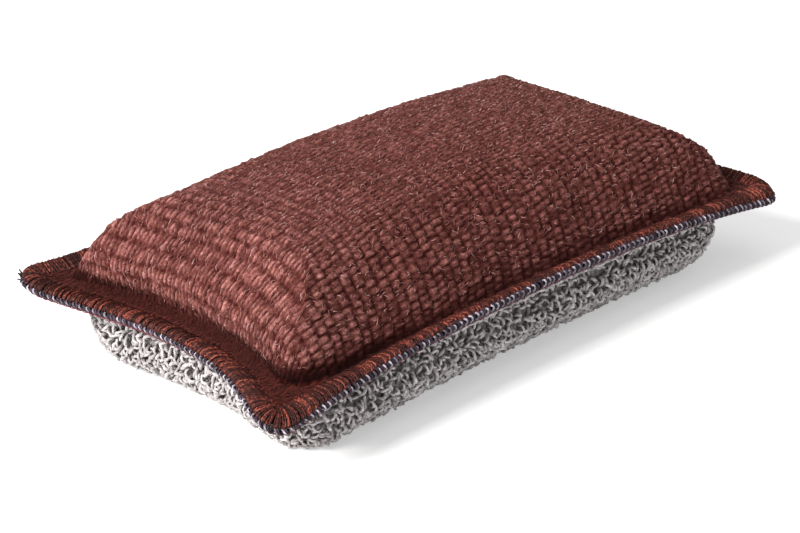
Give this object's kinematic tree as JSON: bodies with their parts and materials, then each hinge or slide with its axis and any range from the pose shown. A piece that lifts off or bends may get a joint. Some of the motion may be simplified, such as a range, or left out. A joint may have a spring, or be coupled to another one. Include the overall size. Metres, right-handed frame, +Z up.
{
  "type": "wax applicator pad",
  "caption": "Hand-size stuffed pad with a ribbed knit top cloth, a looped pile underside, a foam block inside and an overlock seam with four ears.",
  "frame": {"origin": "middle of the flat patch of pressed pile that the pad rests on", "axes": "+X along the pad's long side, +Y across it, +Z up through the knit side"},
  "size_m": [0.1436, 0.0758, 0.0376],
  "materials": {
    "knit_cloth": "coarse fuzzy ribbed microfibre knit, dusty red-brown",
    "pile_cloth": "twisted loop pile, light and dark grey yarn",
    "foam": "soft open-cell foam, pale cream, hidden",
    "needle_thread": "fine spun thread, dark red",
    "rust_thread": "fluffy textured overlock thread, rust red",
    "plum_thread": "twisted overlock thread, plum with pale flecks"
  },
  "bodies": {
    "root": {"top_cover": "knit_cloth", "bottom_cover": "pile_cloth", "foam_core": "foam", "needle_thread": "needle_thread", "upper_looper_thread": "rust_thread", "lower_looper_thread": "plum_thread"}
  },
  "joints": []
}
